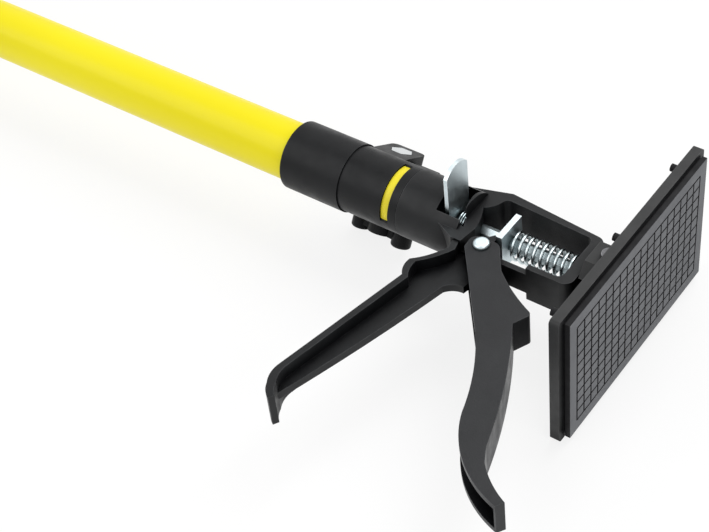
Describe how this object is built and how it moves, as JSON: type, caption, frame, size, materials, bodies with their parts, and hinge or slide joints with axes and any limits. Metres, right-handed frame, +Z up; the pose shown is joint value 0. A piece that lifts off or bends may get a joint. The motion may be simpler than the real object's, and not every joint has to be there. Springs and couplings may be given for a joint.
{
  "type": "telescopic support prop",
  "caption": "Telescopic support prop: yellow sliding pole with a clamp collar, a squeeze-trigger push-rod head and a tilting ribbed rubber pad at each end.",
  "frame": {"origin": "centre of the foot pad's rubber face, on the pole's axis", "axes": "+X along the pole from the foot pad to the head pad, +Z up out of the plane of the handles, -Y the way the grip and trigger reach"},
  "size_m": [1.1634, 0.2031, 0.078],
  "materials": {
    "yellow_paint": "glossy yellow powder coat",
    "liner_plastic": "yellow moulded plastic",
    "bush_plastic": "grey moulded plastic",
    "collar_plastic": "black moulded plastic, fine texture",
    "head_casting": "satin black coating over cast metal",
    "trigger_casting": "satin black coating over cast metal",
    "knob_plastic": "black moulded plastic",
    "zinc": "bright zinc plate",
    "spring_steel": "bright zinc-plated spring wire",
    "bolt_steel": "zinc-plated bolt",
    "brass": "plain brass",
    "knuckle_plastic": "black moulded plastic",
    "plate_plastic": "black moulded plastic",
    "rubber": "dark grey rubber"
  },
  "bodies": {
    "pole": {"outer_tube": "yellow_paint", "clamp_collar": "collar_plastic", "clamp_liner": "liner_plastic", "clamp_bolt": "bolt_steel", "clamp_washer": "zinc", "foot_plug": "knuckle_plastic", "foot_plug_screw": "zinc", "foot_hinge_pin": "zinc"},
    "knob": {"wing_knob": "knob_plastic", "knob_nut": "brass"},
    "slider": {"guide_bush": "bush_plastic"},
    "head": {"inner_tube": "yellow_paint", "head_body": "head_casting", "neck_screw": "zinc", "trigger_rivet": "zinc", "main_spring": "spring_steel", "release_spring": "spring_steel"},
    "trigger": {"trigger": "trigger_casting"},
    "drive": {"drive_plate": "zinc"},
    "release": {"release_plate": "zinc"},
    "rod": {"push_rod": "zinc", "rod_stop": "zinc", "rod_knuckle": "knuckle_plastic", "rod_cross_pin": "zinc", "head_hinge_pin": "zinc"},
    "head_pad": {"head_pad_plate": "plate_plastic", "head_pad_rubber": "rubber"},
    "foot_pad": {"foot_pad_plate": "plate_plastic", "foot_pad_rubber": "rubber"}
  },
  "joints": [
    {"name": "telescope", "type": "slide", "parent": "pole", "child": "slider", "axis": [1, 0, 0], "range_m": [0, 0.75]},
    {"name": "head_turn", "type": "hinge", "parent": "slider", "child": "head", "pos_m": [1, 0, 0], "axis": [1, 0, 0], "continuous": true},
    {"name": "knob_turn", "type": "hinge", "parent": "pole", "child": "knob", "pos_m": [1.0038, 0.01697, -0.0104], "axis": [0, 0.5225, 0.8526], "continuous": true},
    {"name": "trigger_squeeze", "type": "hinge", "parent": "head", "child": "trigger", "pos_m": [1.0767, -0.0153, 0], "axis": [0, 0, -1], "range_deg": [0, 24], "stiffness_Nm_per_rad": 1.5, "springref_deg": -8.59},
    {"name": "drive_push", "type": "slide", "parent": "head", "child": "drive", "axis": [1, 0, 0], "range_m": [0, 0.0028], "deforming": ["main_spring"]},
    {"name": "release_tip", "type": "hinge", "parent": "head", "child": "release", "pos_m": [1.0536, 0, -0.013], "axis": [0, 1, 0], "range_deg": [0, 6], "stiffness_Nm_per_rad": 0.4, "springref_deg": -11.46, "deforming": ["release_spring"]},
    {"name": "rod_advance", "type": "slide", "parent": "head", "child": "rod", "axis": [1, 0, 0], "range_m": [0, 0.11]},
    {"name": "head_pad_tilt", "type": "hinge", "parent": "rod", "child": "head_pad", "pos_m": [1.1346, 0, 0], "axis": [0, 0, 1], "range_deg": [-12, 30]},
    {"name": "foot_pad_tilt", "type": "hinge", "parent": "pole", "child": "foot_pad", "pos_m": [0.0154, 0, 0], "axis": [0, 0, 1], "range_deg": [-30, 30]}
  ],
  "couplings": [
    {"joint": "drive_push", "follows": "trigger_squeeze", "m_per_rad": 0.00645}
  ]
}
